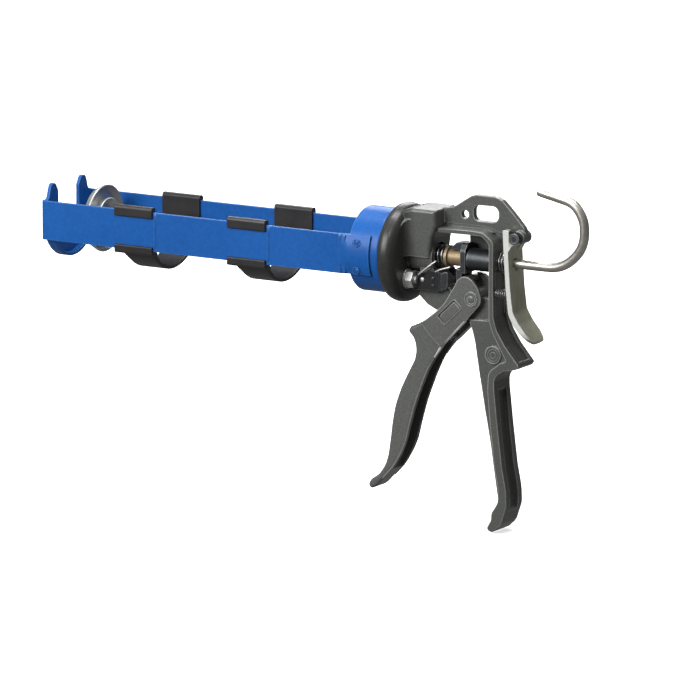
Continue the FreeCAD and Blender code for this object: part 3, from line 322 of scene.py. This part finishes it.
# ---------------------------------------------------------------- camera
AZ, EL = math.radians(31.0), math.radians(11.47)
back = Vector((math.sin(AZ) * math.cos(EL), -math.cos(AZ) * math.cos(EL), math.sin(EL)))
right = Vector((math.cos(AZ), math.sin(AZ), 0.0))
up = back.cross(right)
aim = Vector((0.190, 0, 0)) + right * (27.43 / 1600) - up * (107.85 / 1600)
cam = bpy.data.cameras.new("camera")
cam_o = bpy.data.objects.new("camera", cam)
bpy.context.scene.collection.objects.link(cam_o)
rot = Matrix((right, up, back)).transposed()
cam_o.matrix_world = Matrix.Translation(aim + back * 5.0) @ rot.to_4x4()
cam.sensor_width = 36.0
cam.lens = 411.43
cam.clip_start, cam.clip_end = 0.5, 60.0
bpy.context.scene.camera = cam_o

# ---------------------------------------------------------------- studio
fl = bpy.data.meshes.new("floor")
fb = bmesh.new()
bmesh.ops.create_grid(fb, x_segments=2, y_segments=2, size=15.0)
fb.to_mesh(fl)
fb.free()
floor = bpy.data.objects.new("floor", fl)
floor.location = (0.2, 0.0, -0.1700)
bpy.context.scene.collection.objects.link(floor)
fm, fnt, fbs, fco = nt_new("floor_paper")
fbs.inputs["Base Color"].default_value = (0.93, 0.93, 0.93, 1)
fbs.inputs["Roughness"].default_value = 0.9
fbs.inputs["Specular IOR Level"].default_value = 0.1
fbs.inputs["Emission Color"].default_value = (1, 1, 1, 1)
fbs.inputs["Emission Strength"].default_value = 0.62
fl.materials.append(fm)
floor.visible_glossy = False
floor.visible_diffuse = False


def area(name, loc, target, size, power, size_y=None, color=(1, 1, 1)):
    ld = bpy.data.lights.new(name, "AREA")
    ld.shape = "RECTANGLE"
    ld.size = size
    ld.size_y = size_y or size
    ld.energy = power
    ld.color = color
    lo = bpy.data.objects.new(name, ld)
    lo.location = loc
    d = Vector(target) - Vector(loc)
    lo.rotation_euler = d.to_track_quat("-Z", "Y").to_euler()
    bpy.context.scene.collection.objects.link(lo)
    return lo


area("key", (-0.30, -1.45, 0.75), (0.2, 0, -0.02), 0.9, 32.0)
area("edge", (0.55, -0.95, 1.10), (0.22, 0, 0.0), 0.25, 4.0)
area("top", (0.20, 0.10, 1.30), (0.2, 0, 0.0), 1.2, 20.0, 0.35)
area("rim", (-0.3, 1.25, 0.75), (0.15, 0, 0.0), 0.7, 9.0)
world = bpy.data.worlds.new("studio")
world.use_nodes = True
wnt = world.node_tree
bg = wnt.nodes["Background"]
wco = wnt.nodes.new("ShaderNodeTexCoord")
wsep = wnt.nodes.new("ShaderNodeSeparateXYZ")
wnt.links.new(wco.outputs["Generated"], wsep.inputs[0])
wmap = wnt.nodes.new("ShaderNodeMapRange")
wmap.inputs["From Min"].default_value = -1.0
wmap.inputs["From Max"].default_value = 1.0
wnt.links.new(wsep.outputs["Z"], wmap.inputs[0])
wr = wnt.nodes.new("ShaderNodeValToRGB")
wr.color_ramp.elements[0].position = 0.30
wr.color_ramp.elements[0].color = (0.26, 0.26, 0.26, 1)
wr.color_ramp.elements[1].position = 1.0
wr.color_ramp.elements[1].color = (0.42, 0.42, 0.43, 1)
we = wr.color_ramp.elements.new(0.56)
we.color = (0.10, 0.10, 0.102, 1)
wnt.links.new(wmap.outputs[0], wr.inputs[0])
# the backdrop itself stays white, the gradient only lights the object
wlp = wnt.nodes.new("ShaderNodeLightPath")
wmx = wnt.nodes.new("ShaderNodeMix")
wmx.data_type = "RGBA"
wmx.inputs[7].default_value = (1, 1, 1, 1)
wnt.links.new(wlp.outputs["Is Camera Ray"], wmx.inputs[0])
wnt.links.new(wr.outputs[0], wmx.inputs[6])
wnt.links.new(wmx.outputs[2], bg.inputs[0])
bg.inputs[1].default_value = 1.0
bpy.context.scene.world = world
bpy.context.scene.view_settings.view_transform = "Standard"
bpy.context.scene.view_settings.look = "None"

# ---------------------------------------------------------------- mesh helpers
def piece(name, verts, faces, slot, body, mat=None, smooth=True):
    me = bpy.data.meshes.new(name)
    me.from_pydata([(v[0] * MM, v[1] * MM, v[2] * MM) for v in verts], [], faces)
    bmx = bmesh.new()
    bmx.from_mesh(me)
    bmesh.ops.recalc_face_normals(bmx, faces=bmx.faces)
    bmx.to_mesh(me)
    bmx.free()
    for p in me.polygons:
        p.use_smooth = smooth
    o = bpy.data.objects.new(name, me)
    bpy.context.scene.collection.objects.link(o)
    paint(o, mat or slot)
    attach(o, body)
    return o


def tube_data(pts, r, n=12, closed=False, radii=None):
    """Round tube swept along points, rounded off at its two ends."""
    P = [Vector(p) for p in pts]
    m = len(P)
    tang = []
    for i in range(m):
        a_ = P[(i - 1) % m] if (closed or i > 0) else P[i]
        b_ = P[(i + 1) % m] if (closed or i < m - 1) else P[i]
        tang.append((b_ - a_).normalized())
    ref = Vector((0, 1, 0)) if abs(tang[0].y) < 0.9 else Vector((0, 0, 1))
    u = tang[0].cross(ref).normalized()
    verts, faces = [], []
    rings = []
    for i in range(m):
        u = (u - tang[i] * u.dot(tang[i])).normalized()
        w = tang[i].cross(u)
        ri = radii[i] if radii else r
        ring = []
        for k in range(n):
            t = 2 * math.pi * k / n
            q = P[i] + u * (ri * math.cos(t)) + w * (ri * math.sin(t))
            ring.append(len(verts))
            verts.append(tuple(q))
        rings.append((ring, P[i], tang[i], ri, u.copy(), w))
    cnt = m if closed else m - 1
    for i in range(cnt):
        A_, B_ = rings[i][0], rings[(i + 1) % m][0]
        for k in range(n):
            faces.append((A_[k], A_[(k + 1) % n], B_[(k + 1) % n], B_[k]))
    if not closed:
        for ring, c, t_, ri, uu, ww, sg in ((*rings[0], -1), (*rings[-1], 1)):
            prev = ring
            for lat in (30, 60):
                la = math.radians(lat)
                cur = []
                for k in range(n):
                    t = 2 * math.pi * k / n
                    q = c + t_ * (sg * ri * math.sin(la)) + (
                        uu * math.cos(t) + ww * math.sin(t)) * (ri * math.cos(la))
                    cur.append(len(verts))
                    verts.append(tuple(q))
                for k in range(n):
                    faces.append((prev[k], prev[(k + 1) % n], cur[(k + 1) % n], cur[k]))
                prev = cur
            tip = len(verts)
            verts.append(tuple(c + t_ * (sg * ri)))
            for k in range(n):
                faces.append((prev[k], prev[(k + 1) % n], tip))
    return verts, faces


def tube(name, pts, r, slot, body, n=12, closed=False, mat=None, radii=None):
    v, f = tube_data(pts, r, n, closed, radii)
    return piece(name, v, f, slot, body, mat)


def lathe(name, prof, origin, axis, slot, body, n=48, mat=None):
    """Closed profile of (along, radius) turned round an axis; a zero radius closes it."""
    ax = Vector(axis).normalized()
    ref = Vector((0, 0, 1)) if abs(ax.z) < 0.9 else Vector((1, 0, 0))
    u = ax.cross(ref).normalized()
    w = ax.cross(u)
    o_ = Vector(origin)
    verts, rings = [], []
    for t_, r_ in prof:
        if r_ <= 1e-6:
            rings.append([len(verts)])
            verts.append(tuple(o_ + ax * t_))
            continue
        ring = []
        for k in range(n):
            a_ = 2 * math.pi * k / n
            ring.append(len(verts))
            verts.append(tuple(o_ + ax * t_ + (u * math.cos(a_) + w * math.sin(a_)) * r_))
        rings.append(ring)
    faces = []
    for A_, B_ in zip(rings, rings[1:]):
        if len(A_) == 1 and len(B_) == 1:
            continue
        for k in range(n):
            k2 = (k + 1) % n
            if len(A_) == 1:
                faces.append((A_[0], B_[k], B_[k2]))
            elif len(B_) == 1:
                faces.append((A_[k], A_[k2], B_[0]))
            else:
                faces.append((A_[k], A_[k2], B_[k2], B_[k]))
    return piece(name, verts, faces, slot, body, mat)


def catmull(pts, per=8, closed=False):
    P = [Vector(p) for p in pts]
    m = len(P)
    out = []
    rng = m if closed else m - 1
    for i in range(rng):
        p1, p2 = P[i], P[(i + 1) % m]
        p0 = P[(i - 1) % m] if (closed or i > 0) else p1 * 2 - p2
        p3 = P[(i + 2) % m] if (closed or i < m - 2) else p2 * 2 - p1
        for j in range(per):
            t = j / per
            out.append(0.5 * ((2 * p1) + (p2 - p0) * t + (2 * p0 - 5 * p1 + 4 * p2 - p3) * t * t
                              + (3 * p1 - p0 - 3 * p2 + p3) * t ** 3))
    if not closed:
        out.append(P[-1])
    return out


def ring_pts(c, r, axis="y", n=40):
    out = []
    for k in range(n):
        a_ = 2 * math.pi * k / n
        if axis == "y":
            out.append((c[0] + r * math.cos(a_), c[1], c[2] + r * math.sin(a_)))
        else:
            out.append((c[0], c[1] + r * math.cos(a_), c[2] + r * math.sin(a_)))
    return out


# ---------------------------------------------------------------- cradle detail
def crease(name, x, side, w=2.4, h=0.55, z0=-12.2, z1=12.2, y_face=26.8):
    """Vertical pressed bead across a strap, tapering to nothing at both strap edges."""
    nx, nz = 11, 28
    verts = []
    for j in range(nz):
        z = z0 + (z1 - z0) * j / (nz - 1)
        edge = min(1.0, min(j, nz - 1 - j) / 4.0)
        for i in range(nx):
            s_ = i / (nx - 1) * 2 - 1
            hh = h * edge * math.cos(s_ * math.pi / 2) ** 2
            verts.append((x + s_ * w / 2, side * (y_face + hh - 0.02), z))
    base = len(verts)
    for j in range(nz):
        z = z0 + (z1 - z0) * j / (nz - 1)
        for i in range(nx):
            s_ = i / (nx - 1) * 2 - 1
            verts.append((x + s_ * w / 2, side * (y_face - 0.25), z))
    faces = []
    for j in range(nz - 1):
        for i in range(nx - 1):
            q = j * nx + i
            faces.append((q, q + 1, q + nx + 1, q + nx))
            faces.append((base + q, base + q + nx, base + q + nx + 1, base + q + 1))
    rim = ([i for i in range(nx)] + [j * nx + nx - 1 for j in range(1, nz)]
           + [(nz - 1) * nx + i for i in range(nx - 2, -1, -1)]
           + [j * nx for j in range(nz - 2, 0, -1)])
    for a_, b_ in zip(rim, rim[1:] + rim[:1]):
        faces.append((a_, b_, base + b_, base + a_))
    return piece(name, verts, faces, "blue_paint", "carriage")


for side, tag, xs in ((-1, "near", (83.0, 166.6)), (1, "far", (88.6, 172.2))):
    for k, x in enumerate(xs):
        crease("strap_crease_%s_%d" % (tag, k), x, side, w=2.6, h=0.6)
    crease("strap_step_%s_a" % tag, 218.6, side, w=1.8, h=0.5)
    crease("strap_step_%s_b" % tag, 221.9, side, w=1.6, h=0.35)
    # pressed rings round the two rivets
    for k, z in enumerate((8.0, -9.5)):
        tube("rivet_ring_%s_%d" % (tag, k), ring_pts((231.0, side * 28.15, z), 2.3),
             0.22, "blue_paint", "carriage", n=8, closed=True)

# ---------------------------------------------------------------- trigger detail
for side, tag in ((-1, "near"),):
    y = side * 10.15
    pc = [(291.2, -24.4), (297.0, -29.4), (284.4, -41.5), (279.0, -36.1)]
    rr = []
    for k in range(4):
        a_, b_, c_ = (Vector((*pc[(k - 1) % 4], 0)), Vector((*pc[k], 0)),
                      Vector((*pc[(k + 1) % 4], 0)))
        d1, d2 = (a_ - b_).normalized(), (c_ - b_).normalized()
        for t in range(5):
            f = t / 4.0
            q = b_ + d1 * (1.3 * (1 - f) ** 2) + d2 * (1.3 * f ** 2)
            rr.append((q.x, y, q.y))
        nxt = c_ - b_
        for t in (0.3, 0.5, 0.7):
            q = b_ + nxt * t
            rr.append((q.x, y, q.y))
    # panel rim in the lighter painted-highlight coat
    tube("trigger_panel_rim", rr, 0.5, "powder_coat_alloy", "trigger", n=10, closed=True,
         mat="rim_highlight_coat")
    # blank inner plate of the panel, lightly domed
    cx, cz = sum(p[0] for p in pc) / 4, sum(p[1] for p in pc) / 4
    vs, fs = [], []
    for lvl, (sc, dy) in enumerate(((0.80, 0.0), (0.77, 0.20), (0.60, 0.205), (0.0, 0.21))):
        if sc == 0.0:
            vs.append((cx, side * (9.62 + dy), cz))
            continue
        for q in rr:
            vs.append((cx + (q[0] - cx) * sc, side * (9.62 + dy), cz + (q[2] - cz) * sc))
    L_ = len(rr)
    for lvl in range(2):
        for k in range(L_):
            fs.append((lvl * L_ + k, lvl * L_ + (k + 1) % L_,
                       (lvl + 1) * L_ + (k + 1) % L_, (lvl + 1) * L_ + k))
    for k in range(L_):
        fs.append((2 * L_ + k, 2 * L_ + (k + 1) % L_, 3 * L_))
    fs.append(tuple(range(L_)))
    piece("trigger_panel_blank", vs, fs, "powder_coat_alloy", "trigger", smooth=False)

for side, tag in ((-1, "near"), (1, "far")):
    tube("pivot_ring_" + tag, ring_pts((303.3, side * 10.55, -23.3), 4.3), 0.38,
         "powder_coat_alloy", "trigger", n=10, closed=True)
    lathe("pivot_head_" + tag, [(0, 0), (0, 2.3), (0.25, 2.5), (0.55, 2.2), (0.75, 1.2),
                                (0.8, 0)],
          (303.3, side * 10.45, -23.3), (0, side, 0), "powder_coat_alloy", "body", n=32)
    # rolled rear edge of the trigger's two walls, in the lighter painted-highlight coat
    edge_t = [(309.6, -26.0), (305.1, -31.2), (299.7, -37.0), (291.0, -45.2), (282.5, -54.4),
              (276.4, -63.2), (271.4, -71.6), (266.5, -83.0), (262.0, -95.0),
              (258.0, -109.0), (255.4, -119.0), (251.5, -127.8), (246.0, -136.6),
              (239.2, -144.0)]
    pts = catmull([(p[0] - 0.55, side * 7.35, p[1] + 0.35) for p in edge_t[5:]], 5)
    tube("trigger_rear_bead_" + tag, pts, 0.8, "powder_coat_alloy", "trigger", n=10,
         radii=[0.8 * min(1.0, 0.25 + 0.15 * k_) for k_ in range(len(pts))], mat="rim_highlight_coat")
    # rolled corner along the rear of the upper wall, coloured as a painted highlight
    up_pts = [(299.6, 9.15, -36.6), (297.0, 9.15, -39.0), (293.0, 9.15, -43.1),
              (288.6, 9.05, -47.6), (285.1, 8.9, -51.2), (281.8, 7.9, -54.4),
              (278.8, 7.4, -58.5), (275.8, 7.35, -62.85)]
    pts = catmull([(p[0], side * p[1], p[2]) for p in up_pts], 6)
    nn = len(pts) - 1
    tube("trigger_upper_bead_" + tag, pts, 1.1, "powder_coat_alloy", "trigger", n=12,
         radii=[1.1 * min(1.0, 0.45 + 0.18 * k_, 0.60 + 0.030 * (nn - k_))
                for k_ in range(nn + 1)], mat="painted_highlight_edge")
    if tag == "near":
        # cross rib inside the trigger, below the straddled part
        tube("trigger_rib", [(282.7, y_, -50.8) for y_ in (-7.9, -4.0, 0.0, 4.0, 7.9)], 1.3,
             "powder_coat_alloy", "trigger", n=14)
    # badge: plain turned rings, no lettering, in the lighter painted-highlight coat
    for k, (r_, w_) in enumerate(((5.2, 0.42), (3.7, 0.28), (1.9, 0.30))):
        tube("grip_badge_%s_%d" % (tag, k), ring_pts((318.0, side * 8.28, -57.4), r_), w_,
             "powder_coat", "body", n=8, closed=True, mat="rim_highlight_coat")

# ---------------------------------------------------------------- mechanism detail
tube("latch_wire_a", catmull([(266.6, -11.9, -11.0), (270.6, -12.1, -7.8), (274.6, -11.8, -4.6),
                              (278.2, -10.4, -1.8)], 8), 0.55, "spring_steel", "body",
     n=10, mat="zinc")
tube("latch_wire_b", catmull([(277.4, -9.4, -8.6), (280.6, -9.5, -7.0), (284.4, -9.3, -5.8),
                              (287.3, -8.9, -4.9)], 8), 0.55, "spring_steel", "body",
     n=10, mat="zinc")


def plate(name, outline, y0, y1, slot, body, mat=None, bevel=0.35):
    """Flat plate from a side outline, between two Y planes, with real bevelled edges."""
    vs = [(x, y0, z) for x, z in outline] + [(x, y1, z) for x, z in outline]
    n_ = len(outline)
    fs = [tuple(range(n_)), tuple(range(2 * n_ - 1, n_ - 1, -1))]
    for k_ in range(n_):
        fs.append((k_, (k_ + 1) % n_, n_ + (k_ + 1) % n_, n_ + k_))
    o = piece(name, vs, fs, slot, body, mat, smooth=False)
    bv = o.modifiers.new("edge", "BEVEL")
    bv.width = bevel * MM
    bv.segments = 3
    bv.limit_method = "ANGLE"
    return o


for side, tag in ((-1, "near"), (1, "far")):
    plate("catch_plate_" + tag, [(264.4, -9.4), (271.0, -9.4), (272.4, -7.9), (279.6, -7.9),
                                 (280.6, -9.0), (280.6, -20.6), (278.8, -21.3),
                                 (264.4, -21.3)],
          side * 8.75, side * 9.75, "blued_steel", "body", mat="black_oxide")
    plate("catch_tab_" + tag, [(280.7, -9.6), (283.6, -8.2), (286.2, -8.2), (286.2, -17.6),
                               (284.4, -19.6), (280.7, -19.6)],
          side * 8.75, side * 9.45, "blued_steel", "body")
    for k, (x_, z_, r_) in enumerate(((268.2, -14.4, 1.5), (275.8, -13.0, 1.2),
                                      (275.8, -17.6, 1.2))):
        lathe("catch_rivet_%s_%d" % (tag, k), [(0, 0), (0, r_), (0.35, r_), (0.62, r_ * 0.72),
                                               (0.75, 0)],
              (x_, side * 9.7, z_), (0, side, 0), "zinc", "body", n=24,
              mat="zinc" if k == 0 else "black_oxide")
for k, (y, z) in enumerate(((-10.6, -14.6), (10.6, -14.6))):
    # thread turns on the stud end beyond each nut
    pts = []
    for i in range(73):
        a_ = 2 * math.pi * i / 18
        pts.append((263.8 + 1.25 * i / 72, y + 2.32 * math.cos(a_), z + 2.32 * math.sin(a_)))
    tube("stud_thread_%d" % k, pts, 0.26, "zinc", "body", n=6)
